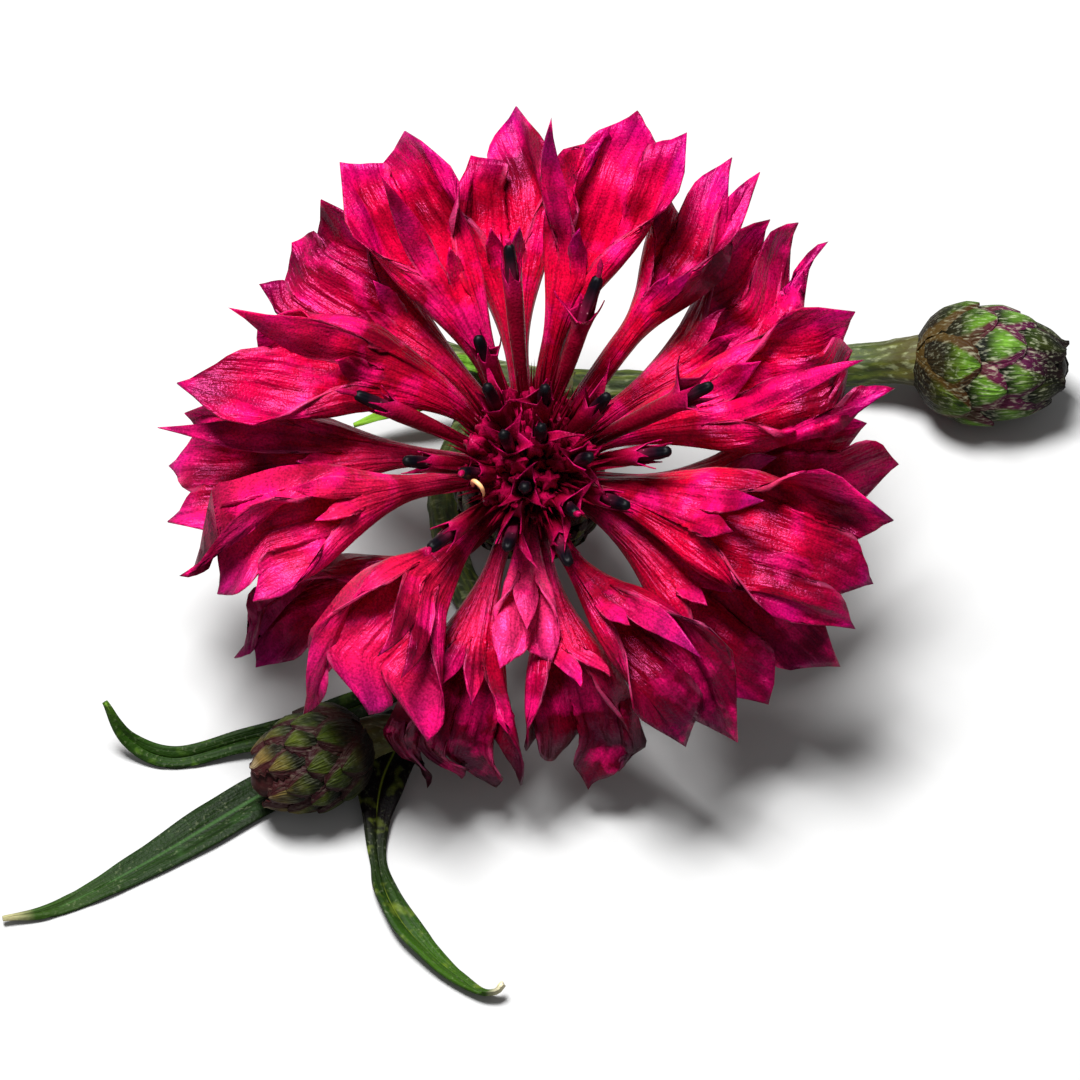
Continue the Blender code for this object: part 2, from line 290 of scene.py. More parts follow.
# azimuth of base and tip, tier, droop, reach, half width, rise of the inner lip, share where the cuts end,
# then the tips of the outer and of the inner lobes as azimuth and reach
rayRows = [
    (51, 52, 15, 14, 22.8, 4.4, 1.0, 0.68, [(62.8, 18.3), (56.2, 21.9), (51.3, 22.2)], [(52, 14), (48, 15)]),
    (33, 32, low, 12, 22.4, 4.3, 1.0, 0.72, [(46.3, 21.6), (42.9, 22.8), (37.2, 22.8)], [(38, 15), (31, 14.5)]),
    (18, 13, 17, 24, 22.5, 4.6, 1.4, 0.8, [(23.9, 21.5), (9.8, 22.2), (18.6, 20.7)], [(13.7, 20.2), (18, 15)]),
    (-13, -3, low - 3, 14, 22.6, 4.4, 0.8, 0.84, [(7.3, 20.6), (0.8, 22.6), (-3.7, 21)], [(2, 15), (-5, 14)]),
    (-20, -20, high, 34, 21.9, 4.8, 1.4, 0.84,
     [(-11.3, 22.1), (-20.6, 22.5), (-28.5, 22.5)], [(-16, 15), (-24, 14)]),
    (-34, -38, low, 36, 21.6, 4.6, 1.0, 0.74, [(-32.5, 22.4), (-44.8, 20.8)], [(-35, 14.5), (-41, 14)]),
    (-72, -56, high, 52, 20.6, 4.4, 1.4, 0.76, [(-54, 21.7), (-61.6, 20.7)], [(-52.7, 16.1), (-58, 13)]),
    (-82, -79, low - 2, 66, 20, 4.6, 0.8, 0.84,
     [(-73.5, 20), (-79.5, 19.9), (-85, 18.8), (-90.5, 17.6)], [(-70, 14), (-77, 14)]),
    (-92, -91, high, 36, 13.5, 1.9, 1.6, 0.88, [(-84, 12.6), (-98, 12.9)], [(-91, 10.8)]),
    (-109, -107, low - 2, 64, 20.6, 4.6, 0.8, 0.84,
     [(-91.5, 19.4), (-97, 20.6), (-102.6, 19.7), (-108.4, 21.2)], [(-103, 15), (-110, 14.5)]),
    (-128, -130, high, 54, 20.2, 4.8, 1.8, 0.84,
     [(-109.8, 18.8), (-121.8, 18.9), (-131.5, 21.3)], [(-124, 15.4), (-118.3, 15.7)]),
    (-125, -147, low, 34, 21.3, 4.2, 1.0, 0.84,
     [(-144.2, 21.1), (-147.4, 21.5), (-135.3, 18.1)], [(-144, 14), (-150, 14)]),
    (-166, -164, high, 36, 21.9, 4.6, 1.4, 0.84,
     [(-151.3, 19), (-155.9, 21), (-159.9, 22.2)], [(-160, 14), (-168, 15)]),
    (176, 179, low, 14, 22.5, 4.6, 0.8, 0.86,
     [(189.3, 22.2), (178.9, 22.6), (171.1, 21.4)], [(175.7, 21.8), (182, 14)]),
    (141, 159, high, 22, 22.2, 4.5, 2.2, 0.87, [(169.1, 21.6), (154.5, 18.1)], [(156.9, 19.6), (161, 13.5)]),
    (127, 139, low, 10, 22, 4.6, 1.0, 0.87, [(145.9, 20), (136.2, 20.4), (128.1, 20.7)], [(134, 14), (140, 13.5)]),
    (113, 117, high - 2, 18, 22.2, 4.4, 2.0, 0.87, [(123, 21), (111.2, 21)], [(119, 18.7), (113, 13.5)]),
    (97, 96, low, 8, 22.8, 4.4, 1.4, 0.87, [(100.7, 19.6), (92.3, 22.8)], [(99, 14), (93, 14)]),
    (80, 74, high + 3, 16, 22.5, 4.9, 1.8, 0.84,
     [(76.7, 19.6), (72.5, 21.2), (63.6, 21.1)], [(85.4, 19.6), (76, 14)]),
]

# share along a floret where it starts to open, if it isn't the usual one
usualFlareStart = 0.18
flareStarts = {1: 0.36, 2: 0.2, 3: 0.06, 5: 0.06, 6: 0.08, 7: 0.24, 9: 0.06, 12: 0.24, 13: 0.24, 15: 0.06, 19: 0.26}
# painted light and shade on some florets: how much paler pink they are (painted light), or, below zero, how much
# darker outside (painted shade) and paler inside (painted light)
rayPaintedLightAndShade = {
    5: -0.2, 6: -0.5, 7: -0.8, 8: -1, 9: 0.55, 10: -1, 11: 0.12, 12: -0.5, 13: 0.15, 14: 0.1, 15: -0.2, 16: -0.6,
}
# height and half width (0..1) of a lobe with broad shoulders and a drawn-out point
lobeShape = [
    (0, 1), (0.12, 1.08), (0.26, 1.12), (0.4, 1.06), (0.52, 0.92), (0.63, 0.72), (0.72, 0.52), (0.8, 0.35),
    (0.87, 0.21), (0.93, 0.11), (1, 0),
]


# the middle line of a floret and a little past its reach, in mm from the head's middle
def rayPath(row, steps=120, beyond=1.25):
    baseAzimuth, tipAzimuth, tier, droop, reach = row[:5]
    share = np.linspace(0, beyond, int(steps * beyond) + 1)
    steeper = rayFloret["steeperAtBase"] * (1 - ramp(0, 0.42, share))
    slope = np.radians(tier + steeper - droop * ramp(0.45, 1, share))
    length = (reach - rayFloret["baseRadius"]) / np.cos(slope[share < 1]).mean()
    step = length / steps
    radius = rayFloret["baseRadius"] + np.concatenate([[0], np.cumsum(np.cos(slope[:-1]) * step)])
    height = rayFloret["baseHeight"] + np.concatenate([[0], np.cumsum(np.sin(slope[:-1]) * step)])
    azimuth = np.radians(baseAzimuth + (tipAzimuth - baseAzimuth) * ramp(0, 0.8, share))
    return share, np.stack([radius * np.cos(azimuth), radius * np.sin(azimuth), height], axis=1), radius


# half width of the funnel: a narrow tube that opens like a trumpet
def rayWidth(number, halfWidth, share):
    tube, start = rayFloret["tubeRadius"], flareStarts.get(number, usualFlareStart)
    return tube + (halfWidth * rayFloret["widening"] - tube) * (0.08 * share + 0.92 * ramp(start, 0.92, share))


# angle round the flattened mouth, from its top over its right; shares are even along the rim
def rimAngle(rimShare):
    fine = np.linspace(0, 2 * math.pi, 721)
    stepLength = np.hypot(np.cos(fine), rayFloret["flatness"] * np.sin(fine))
    along = np.concatenate([[0], np.cumsum((stepLength[1:] + stepLength[:-1]) / 2)])
    return np.interp(rimShare % 1, along / along[-1], fine)


# half width and height (0..1) on the outline of a lobe; the columns are even along its edge
def lobeOutline(fromMiddle):
    height = np.linspace(0, 1, 201)
    halfWidth = outlineAt(lobeShape, height)
    edge = np.concatenate([[0], np.cumsum(np.hypot(np.diff(halfWidth) * 1.8, np.diff(height) * 4))])
    at = (1 - fromMiddle) * edge[-1]  # the edge runs from the cut up to the tip
    return np.interp(at, edge, halfWidth), np.interp(at, edge, height)


def makeRayFloret(number, row, material):
    tipAzimuth, halfWidth, rise, cutShare, outerTips, innerTips = row[1], *row[5:]
    draw = random.Random(100 + number)
    shares, path, radii = rayPath(row)
    outerPart, lipsPart, tube = (rayFloret[name] for name in ("outerPart", "lipsPart", "tubeRadius"))

    # lobes in their order round the rim, from the right of the outer lip over its middle and back by the inner lip
    tips = sorted(outerTips) + sorted(innerTips, reverse=True)
    lobes, outer = len(tips), len(outerTips)
    inner = np.arange(lobes) >= outer
    widths = np.where(inner, (1 - outerPart) / len(innerTips), outerPart / outer)
    edges = np.concatenate([[0], np.cumsum(widths)]) + 0.5 - outerPart / 2
    away = np.radians([tip[0] - tipAzimuth for tip in tips])
    tipReach = np.array([tip[1] for tip in tips])
    tipLateral = -tipReach * np.sin(away)
    tipShare = np.minimum(np.interp(tipReach * np.cos(away), radii, shares), 1.06)
    cuts = np.array([cutShare + draw.uniform(-0.05, 0.03) for _ in range(lobes)])
    cuts[inner | np.roll(inner, 1)] = lipsPart
    cuts[1:outer] = np.minimum(cuts[1:outer], np.minimum(tipShare[: outer - 1], tipShare[1:outer]) - 0.1)

    piece, u, v = addSheet(f"ray_floret_{number:02d}_petal", lobes * rayFloret["columnsPerLobe"], rayFloret["rows"])
    lobe = np.clip(np.floor(u * lobes + 1e-6).astype(int), 0, lobes - 1)
    isInner = inner[lobe]
    evenSide = np.clip(2 * (u * lobes - lobe) - 1, -1, 1)
    outlineSide, heightInLobe = lobeOutline(np.abs(evenSide))
    side = evenSide + (outlineSide * np.sign(evenSide) - evenSide) * ramp(0.45, 0.72, v)
    cut = np.where(evenSide < 0, cuts[lobe], cuts[(lobe + 1) % lobes])
    frayed = rayFloret["fray"] * noiseAt(np.stack([u * lobes * 9, u * 0 + number, u * 0], axis=1), 21)
    length = cut + (tipShare[lobe] - cut) * heightInLobe + frayed * (1 - heightInLobe**4)

    # rows are even in the tube and the funnel, and gather towards the outline of the lobes
    bend, foot = rayFloret["rowsInFunnel"], rayFloret["funnelPart"]
    share = np.where(v < bend, v / bend * foot, foot + (v - bend) / (1 - bend) * (length - foot))
    middle = np.stack([np.interp(share, shares, path[:, axis]) for axis in range(3)], axis=1)
    ahead = np.stack([np.interp(share + 0.01, shares, path[:, axis]) for axis in range(3)], axis=1)
    along = unit(ahead - middle)
    across = unit(np.cross(along, [0, 0, 1]))
    above = np.cross(across, along)

    # a flat funnel up to where the lips part; beyond it the outer lip opens to a shallow hollow fan
    rimShare = (edges[lobe] + edges[lobe + 1]) / 2 + side * widths[lobe] / 2
    angle = rimAngle(rimShare)
    wide = rayWidth(number, halfWidth, share)
    deep = tube + (halfWidth * rayFloret["flatness"] - tube) * ramp(0.15, 0.8, share)
    spread = ramp(lipsPart, 0.82, share) * ~isInner
    fan = np.clip((rimShare - 0.5) / (outerPart / 2), -1.3, 1.3)
    lateral = wide * (np.sin(angle) * (1 - spread) - fan * spread)
    raised = -0.7 * deep + rayFloret["hollow"] * (np.abs(fan) ** 2.2 - 0.2)
    lift = deep * np.cos(angle) * (1 - spread) + raised * spread
    lift = lift + rise * isInner * ramp(lipsPart, 1.0, share)

    # each lobe leans to its own tip, is folded along its middle and lies over its neighbour
    inLobe = np.clip((share - cut) / (tipShare[lobe] - cut + 1e-6), 0, 1) * (share > cut)
    middles = (edges[:-1] + edges[1:]) / 2
    wideAtTip = rayWidth(number, halfWidth, tipShare)
    middleFan = np.clip((middles - 0.5) / (outerPart / 2), -1, 1)
    freeLateral = wideAtTip * np.where(inner, np.sin(rimAngle(middles)), -middleFan)
    lateral = lateral + (tipLateral - freeLateral)[lobe] * ramp(0, 1, inLobe) ** 0.8
    pleats = np.array([rayFloret["pleat"] * draw.uniform(-0.6, 1.5) for _ in range(lobes)])
    pleat = pleats[lobe] * (1 - np.abs(side) ** 1.3) * ramp(0.3, 0.8, share)
    overlap = draw.choice([-1, 1]) * rayFloret["overlap"] * side * ramp(0.5, 0.8, share)
    curls = np.array([draw.uniform(-0.9, 1.2) for _ in range(lobes)]) + inner * 0.8
    twists = np.array([draw.uniform(-0.8, 0.8) for _ in range(lobes)])
    curl = curls[lobe] * inLobe**2 + twists[lobe] * side * np.sin(inLobe * math.pi * 0.7)
    outward = unit(across * (np.sin(angle) / wide)[:, None] + above * (np.cos(angle) / deep)[:, None])
    opened = above * (spread + 1e-6)[:, None] * np.where(isInner, 1, -1)[:, None]
    outward = unit(outward * (1 - spread)[:, None] + opened)
    points = middle + across * lateral[:, None] + above * lift[:, None]
    points += outward * (pleat + overlap - curl * np.where(isInner, -1, 1))[:, None]

    # crumpled at four sizes: the whole lip, folds along it, dents and fine puckers
    crumple = noiseAt(points * 0.2, number) * 1.7 + noiseAt(points * 0.6, number + 40) * 0.7
    crumple += noiseAt(np.stack([fan * 3.2, share * 1.5, share * 0 + number], axis=1), 9) * 1.3
    crumple += noiseAt(points * 1.5, number + 80) * 0.22
    points += above * (crumple * rayFloret["crumple"] * ramp(0.2, 0.6, share))[:, None]

    setPoints(piece, fromHead(points), rimShare * 4 * halfWidth, share, inLobe)
    # the floret's painted light and shade; the inner lobes of a darkened floret get painted light
    tone = rayPaintedLightAndShade.get(number, 0)
    storePlace(piece, np.abs(side), np.where(isInner & (tone < 0), -0.12 * tone, tone), name="side")
    turnOut(piece)
    thicken(piece, rayFloret["thickness"], -1)
    finishPiece(piece, material, f"ray_floret_{number:02d}")


# fresh petal tissue, grown thin and moist: saturated crimson with red and wine patches, magenta lobes, fine veins
# along it, satin light on its folds, and a glow where light comes through; painted shade darkens its foot and some
# florets, and painted light makes some florets, some patches and the lobe edges paler pink
def petalLook(tree, spot, onPetal, place):
    side = addNode(tree, "Attribute", attribute_name="side").outputs["Vector"]
    side = addNode(tree, "SeparateXYZ", side).outputs
    # the dark foot of the floret is painted shade down in the head
    colour = addNode(tree, "ValToRGB", place["Y"], stops=[
        (0, "#60022c"), (0.25, "#bc0234"), (0.5, "#e20232"), (0.8, "#ec024c"), (1, "#d40474")])
    colour, _ = addPatches(tree, colour, spot, 4.8 * mm, 3.0, [(0.42, 0), (0.6, 0.85)], "#c4001c")
    magenta = addNode(tree, "TexNoise", spot, 1 / (3.8 * mm), 2.0)
    magenta = addNode(tree, "ValToRGB", magenta, stops=[(0.35, 0.1), (0.6, 1)])
    lobes = addNode(tree, "ValToRGB", place["Z"], stops=[(0, 0), (0.35, 0.4), (0.8, 0.9), (1, 1)])
    magenta = addNode(tree, "Math", lobes, magenta, operation="MULTIPLY")
    colour = addNode(tree, "Mix", magenta, colour, "#b40470", data_type="RGBA")

    # painted light and shade on the whole floret: paler pink above zero (painted light), and darker in its outer
    # stretch below it (painted shade)
    colour = addNode(tree, "Mix", side["Y"], colour, "#ff408c", data_type="RGBA")
    shade = addNode(tree, "Math", side["Y"], -1.0, operation="MULTIPLY", use_clamp=True)
    outer = addNode(tree, "ValToRGB", place["Y"], stops=[(0.45, 0.3), (0.8, 1)])
    shade = addNode(tree, "Math", shade, outer, operation="MULTIPLY")
    colour = addNode(tree, "Mix", shade, colour, "#2c0008", data_type="RGBA")
    colour, _ = addPatches(tree, colour, spot, 4.8 * mm, 5.0, [(0.47, 0), (0.64, 0.85)], "#6c0018")
    # pale pink patches: partly the petal's own mottling, partly painted soft highlight
    colour, _ = addPatches(tree, colour, spot, 2.6 * mm, 5.0, [(0.52, 0), (0.66, 0.8)], "#ff1078")

    # folds and veins run along the petal; the grain is its cells, drawn coarser than they are so that they show
    folds = addNode(tree, "VectorMath", onPetal, (1.5, 6.0, 0.0), operation="MULTIPLY")
    folds = addNode(tree, "TexNoise", folds, 1.0, 3.0)
    veins = addNode(tree, "VectorMath", onPetal, (1.6, 3.0, 0.0), operation="MULTIPLY")
    colour, _ = addPatches(tree, colour, veins, 1.0, 3.0, [(0.34, 0.55), (0.56, 1)])
    colour, grain = addPatches(tree, colour, spot, 0.14 * mm, 1.0, [(0.32, 0.55), (0.62, 1)])
    # painted highlight along the edges of the lobes
    edge = addNode(tree, "ValToRGB", side["X"], stops=[(0.93, 0), (1, 0.45)])
    edge = addNode(tree, "Math", edge, place["Z"], operation="MULTIPLY")
    colour = addNode(tree, "Mix", edge, colour, "#f070a8", data_type="RGBA")

    height = addNode(tree, "Math", grain, 0.12, folds, operation="MULTIPLY_ADD")
    bump = addNode(tree, "Bump", Strength=0.75, Distance=0.4 * mm, Height=height)
    shader = addNode(
        tree, "BsdfPrincipled", colour, Normal=bump, Roughness=0.34, IOR=1.42, Specular_IOR_Level=0.75,
        Specular_Tint="#ff5cb0", Sheen_Weight=0.02, Sheen_Tint="#ff3090")
    glow = addNode(tree, "BsdfTranslucent", colour, Normal=bump)
    return addNode(tree, "MixShader", 0.34, shader, glow)


petal = makeMaterial("moistPetalTissue", petalLook)
for number, row in enumerate(rayRows, 1):
    makeRayFloret(number, row, petal)
print("ray florets made")

discFloret = {
    "tubeRadius": 0.35,  # mm
    "throatRadius": 0.56,
    "baseRadius": 2.0,  # mm from the axis of the head, where a floret reaches far out
    "baseHeight": 0.8,
    "lobes": 5,
    "lobeLength": 2.9,
    "lobesStart": 0.55,  # share of the rows
    "bends": (0, 2, 4, 8, 16, 40),  # degrees, one is drawn for each lobe
    "antherRadius": 0.36,
    "antherLength": 5.4,
    "freeTip": 3.5,  # mm of the anthers that stand out of the mouth
    "styleRadius": 0.17,
    "columnsPerLobe": 8,
    "rows": 26,
    "thickness": 0.08,
}

# azimuth, reach and height of the tip above the face of the head, then mm of style beyond the anthers
discRows = [
    (40, 0.9, 11, 0), (172, 1.6, 10.6, 0), (-96, 3, 10.2, 0), (73, 3.2, 10.6, 0), (-17, 3.8, 10.2, 0),
    (128, 4.2, 9.8, 0), (-154, 4.5, 9.7, 0.5), (30, 5.4, 9.8, 0), (-58, 5.2, 9.4, 0.4), (-33, 7, 8.6, 0),
    (-72, 7.6, 7.9, 0), (-102, 6.6, 8.8, 0), (-133, 8.8, 8.6, 0.4), (-172, 7.6, 8.6, 0), (163, 11, 7.6, 1.3),
    (116, 7.2, 9, 0), (96, 12.2, 9, 0.3), (68, 11, 8.8, 1.1), (17, 11.4, 9.8, 0), (-3, 8.4, 8.4, 0),
]
# share along and radius (0..1) of the joined anthers, with their blunt tip
antherOutline = [(0, 0.5), (0.08, 0.8), (0.45, 0.95), (0.7, 1.08), (0.88, 1.0), (0.95, 0.86), (0.985, 0.55), (1, 0)]
# one spent style curls over beside its floret
spentStyle = {
    "route": [  # mm from the middle of the head
        (-3.4, -2.3, 7.4), (-3.4, -2.35, 8.8), (-3.2, -2.5, 9.5), (-2.9, -2.8, 9.5), (-2.75, -3.1, 9.0),
        (-2.8, -3.3, 8.6),
    ],
    "radius": 0.14,
}


def discLine(azimuth, reach, height):
    turn = np.array([math.cos(azimuth), math.sin(azimuth), 0])
    base = turn * discFloret["baseRadius"] * min(reach / 8, 1) ** 0.6 + [0, 0, discFloret["baseHeight"]]
    tip = turn * reach + [0, 0, height]
    knee = base + (tip - base) * 0.45 + [0, 0, 0.1 * reach]
    t = np.linspace(0, 1, 61)[:, None]
    return (1 - t) ** 2 * base + 2 * (1 - t) * t * knee + t**2 * tip


def makeDiscFloret(number, row, tissue, anther):
    azimuth, reach, height, style = row
    azimuth = math.radians(azimuth)
    draw = random.Random(300 + number)
    line = discLine(azimuth, reach, height)
    total = lineLength(line)
    sideways = np.array([-math.sin(azimuth), math.cos(azimuth), 0])
    node = f"disc_floret_{number:02d}"
    mouth = 1 - discFloret["freeTip"] * draw.uniform(0.85, 1.25) / total

    # the corolla: a thin tube that swells to its mouth, where narrow lobes bend out
    lobes, lobesStart = discFloret["lobes"], discFloret["lobesStart"]
    piece, u, v = addSheet(f"{node}_corolla", lobes * discFloret["columnsPerLobe"], discFloret["rows"])
    lobe = np.clip(np.floor(u * lobes + 1e-6).astype(int), 0, lobes - 1)
    side = np.clip(2 * (u * lobes - lobe) - 1, -1, 1)
    share = np.minimum(v / lobesStart, 1) * mouth
    out = discFloret["lobeLength"] * np.clip((v - lobesStart) / (1 - lobesStart), 0, 1)
    lengths = np.array([draw.uniform(0.75, 1.15) for _ in range(lobes)])
    bends = np.radians([draw.choice(discFloret["bends"]) * draw.uniform(0.8, 1.2) for _ in range(lobes)])
    leans = np.array([draw.uniform(-0.5, 0.5) for _ in range(lobes)])
    out = out * (1 - 0.55 * np.abs(side) ** 1.5) * lengths[lobe]
    middle, along, right, above = followLine(line, share, sideways)
    centre = (lobe + 0.5) / lobes * 2 * math.pi
    turn = (lobe + 0.5 + side / 2 * (1 - np.clip(out / 2.6, 0, 1) ** 1.6 * 0.92)) / lobes * 2 * math.pi
    tube, throat = discFloret["tubeRadius"], discFloret["throatRadius"]
    size = tube + (throat - tube) * ramp(0.3, 1.0, share / mouth)
    size = size + 0.05 * noiseAt(np.stack([u * 6, v * 5, u * 0 + number], 1), 3)
    bend = bends[lobe] * np.clip(out / 2.2, 0, 1) ** 0.8
    points = middle + turned(right, above, turn) * size[:, None]
    radial, beside = turned(right, above, centre), turned(-above, right, centre)
    points += radial * (out * np.sin(bend))[:, None] + along * (out * np.cos(bend))[:, None]
    points += beside * (leans[lobe] * out**2 * 0.15)[:, None]
    setPoints(piece, fromHead(points), v, np.abs(side))
    turnOut(piece)
    thicken(piece, discFloret["thickness"], -1)
    finishPiece(piece, tissue, node)

    # the joined anthers round the style, ridged
    def antherSize(v, angle):
        ridge = 1 + 0.07 * np.cos(5 * angle) + 0.04 * np.cos(10 * angle + 3 * v)
        return discFloret["antherRadius"] * outlineAt(antherOutline, v) * np.where(v < 0.97, ridge, 1)

    start = 1 - discFloret["antherLength"] / total
    tail = line[max(int(start * (len(line) - 1)), 0):]
    piece, v, _, points, outward = addTube(f"{node}_anthers", tail, antherSize, 30, 40, sideways)
    points = points + outward * (0.04 * noiseAt(points * 1.6, number))[:, None] * (v < 0.99)[:, None]
    setPoints(piece, fromHead(points), (1 - v) * discFloret["antherLength"])
    turnOut(piece)
    finishPiece(piece, anther, node)

    # a style that pushes out of the tip, with a swelling near its pointed end
    def styleSize(v, angle):
        return discFloret["styleRadius"] * (1 - v**6) * (1 + 0.35 * np.exp(-(((v - 0.72) / 0.1) ** 2)))

    if style:
        ending = line[-1] + unit(line[-1:] - line[-3:-2])[0] * style
        beyond = smoothRoute([line[-4], line[-1], (line[-1] + ending) / 2 + sideways * 0.1, ending + sideways * 0.25])
        piece, v, _, points, _ = addTube(f"{node}_style", beyond, styleSize, 10, 20, sideways)
        setPoints(piece, fromHead(points), 0.85 + 0.15 * v, v * 0.9)
        turnOut(piece)
        finishPiece(piece, tissue, node)


def makeSpentStyle(spent):
    line = smoothRoute(spentStyle["route"])
    piece, v, _, points, _ = addTube(
        "disc_floret_07_spent_style", line, lambda v, angle: spentStyle["radius"] * (1 - v**8), 12, 40)
    setPoints(piece, fromHead(points), v)
    turnOut(piece)
    finishPiece(piece, spent, "disc_floret_07")


# corolla tissue of the disc, thicker than a petal: wine red with paler edges that are painted highlight, its cells
# drawn as coarsely, and with little light through it
def corollaLook(tree, spot, stored, place):
    colour = addNode(tree, "ValToRGB", place["X"], stops=[
        (0, "#38020e"), (0.5, "#7c0420"), (0.7, "#980634"), (1, "#ac084c")])
    colour, _ = addPatches(tree, colour, spot, 2 * mm, 3.0, [(0.42, 0), (0.66, 0.8)], "#5c0214")
    # painted highlight on the upper edges of the lobes and on the ridges of the closed florets
    edge = addNode(tree, "Math", place["X"], place["Y"], operation="MULTIPLY")
    colour = tint(tree, colour, edge, [(0.8, 0), (0.99, 0.22)], "#e02c74")
    colour, grain = addPatches(tree, colour, spot, 0.14 * mm, 1.0, [(0.3, 0.6), (0.65, 1)])
    bump = addNode(tree, "Bump", Strength=0.5, Distance=0.1 * mm, Height=grain)
    shader = addNode(
        tree, "BsdfPrincipled", colour, Normal=bump, Roughness=0.34, IOR=1.42, Specular_IOR_Level=0.4,
        Specular_Tint="#ff60b0")
    glow = addNode(tree, "BsdfTranslucent", colour)
    return addNode(tree, "MixShader", 0.15, shader, glow)


# waxy anther wall: wine red that turns to blue-black at the blunt tip, dull, dusted with pollen
def antherLook(tree, spot, stored, place):
    length = addNode(tree, "MapRange", place["X"], From_Min=0.0, From_Max=discFloret["antherLength"])
    colour = addNode(tree, "ValToRGB", length, stops=[
        (0, "#020206"), (0.14, "#040108"), (0.28, "#2c0616"), (0.45, "#600c2c"), (1, "#600a28")])
    colour, streaks = addPatches(tree, colour, spot, 0.7 * mm, 2.0, [(0.3, 0.55), (0.65, 1)])
    pollen = addNode(tree, "TexNoise", spot, 1 / (0.24 * mm), 1.0)
    pollen = addNode(tree, "ValToRGB", pollen, stops=[(0.7, 0), (0.76, 0.6)])
    below = addNode(tree, "ValToRGB", length, stops=[(0.2, 0), (0.45, 0.8)])
    dust = addNode(tree, "Math", pollen, below, operation="MULTIPLY")
    colour = addNode(tree, "Mix", dust, colour, "#d090a0", data_type="RGBA")
    bump = addNode(tree, "Bump", Strength=0.6, Distance=0.1 * mm, Height=streaks)
    return addNode(tree, "BsdfPrincipled", colour, Normal=bump, Roughness=0.5, IOR=1.45, Specular_IOR_Level=0.12)


# dried tissue of a spent style: cream that browns towards the tip, waxy
def spentLook(tree, spot, stored, place):
    colour = addNode(tree, "ValToRGB", place["X"], stops=[
        (0, "#8c2038"), (0.35, "#c8744c"), (0.7, "#e0a874"), (1, "#a05c34")])
    return addNode(tree, "BsdfPrincipled", colour, Roughness=0.45, IOR=1.42)


corolla = makeMaterial("thickCorollaTissue", corollaLook)
anther = makeMaterial("waxyAntherWall", antherLook)
for number, row in enumerate(discRows, 1):
    makeDiscFloret(number, row, corolla, anther)
makeSpentStyle(makeMaterial("driedStyleTissue", spentLook))
print("disc florets made")

receptacle = {
    "radius": 2.75,  # mm
    "bottom": -0.9,  # mm along the axis of the head
    "height": 1.5,
    "outline": [(0, 0), (0.02, 0.98), (0.35, 0.96), (0.75, 0.72), (0.93, 0.42), (1, 0)],
    "bristles": 300,
    "bristlesWithin": 2.5,  # mm from the axis, at their feet
    "bristleLength": (5.0, 8.6),
    "bristleRadius": 0.16,
    "closedFlorets": 46,
    "closedWithin": 3.9,
    "closedHeight": (5.5, 8.2),
    "closedRadius": 0.58,
    "closedOutline": [(0, 0.3), (0.5, 0.5), (0.75, 0.9), (0.88, 1.0), (0.96, 0.7), (1, 0)],
}
level = np.array([0.6, 0.8, 0.1])  # a direction that no upright tube follows


def makeReceptacle(tissue):
    axis = np.linspace(0, 1, 30)[:, None] * [0, 0, receptacle["height"]] + [0, 0, receptacle["bottom"]]
    dome, v, _, points, outward = addTube(
        "receptacle_dome", axis, lambda v, angle: receptacle["radius"] * outlineAt(receptacle["outline"], v),
        40, 24, np.array([1.0, 0, 0]))
    points = points + outward * (0.12 * noiseAt(points * 1.5, 5))[:, None] * ((v > 0.01) & (v < 0.99))[:, None]
    setPoints(dome, fromHead(points), 0.1, 0.2)
    pieces = [dome]

    draw = random.Random(11)
    for index in range(receptacle["bristles"]):
        turn = index * spiralTurn
        radius = receptacle["bristlesWithin"] * math.sqrt((index + 0.5) / receptacle["bristles"])
        out = np.array([math.cos(turn), math.sin(turn), 0])
        foot = out * radius + [0, 0, 0.1]
        tall = draw.uniform(*receptacle["bristleLength"])
        lean = out * (radius * 0.55 + draw.uniform(0, 0.8)) * tall / 4
        line = np.array([foot, foot + lean * 0.35 + [0, 0, tall * 0.5], foot + lean + [0, 0, tall]])
        size = receptacle["bristleRadius"] * draw.uniform(0.8, 1.3)
        bristle, v, _, points, _ = addTube("bristle", line, lambda v, angle: size * (1 - v**3), 4, 3, level)
        setPoints(bristle, fromHead(points), 0.2 + 0.5 * v, 0.1)
        pieces.append(bristle)

    # florets that have not opened yet crowd the middle
    for index in range(receptacle["closedFlorets"]):
        turn = index * spiralTurn + 0.7
        radius = receptacle["closedWithin"] * math.sqrt((index + 0.3) / receptacle["closedFlorets"])
        out = np.array([math.cos(turn), math.sin(turn), 0])
        tall = draw.uniform(*receptacle["closedHeight"]) - 0.35 * radius
        line = smoothRoute(
            [out * radius * 0.5, out * radius * 0.75 + [0, 0, tall * 0.5], out * radius * 1.05 + [0, 0, tall]], 8)
        size = receptacle["closedRadius"] * draw.uniform(0.75, 1.15)

        def closedSize(v, angle):
            return size * outlineAt(receptacle["closedOutline"], v) * (1 + 0.25 * np.cos(5 * angle + v))

        closed, v, angle, points, outward = addTube("closed_floret", line, closedSize, 20, 16, level)
        points = points + outward * (0.1 * noiseAt(points * 1.8, index) * (v < 0.99))[:, None]
        setPoints(closed, fromHead(points), 0.35 + 0.45 * v, 0.5 - 0.5 * np.cos(5 * angle + v))
        pieces.append(closed)

    piece = joinPieces(pieces)
    turnOut(piece)
    finishPiece(piece, tissue, "receptacle", sharp=50)


makeReceptacle(corolla)
print("receptacle made")


# mm in the frame of the sprig, on the axis of the head
def onHeadAxis(height):
    return np.array(headInSprig) + np.array(headUp) * height


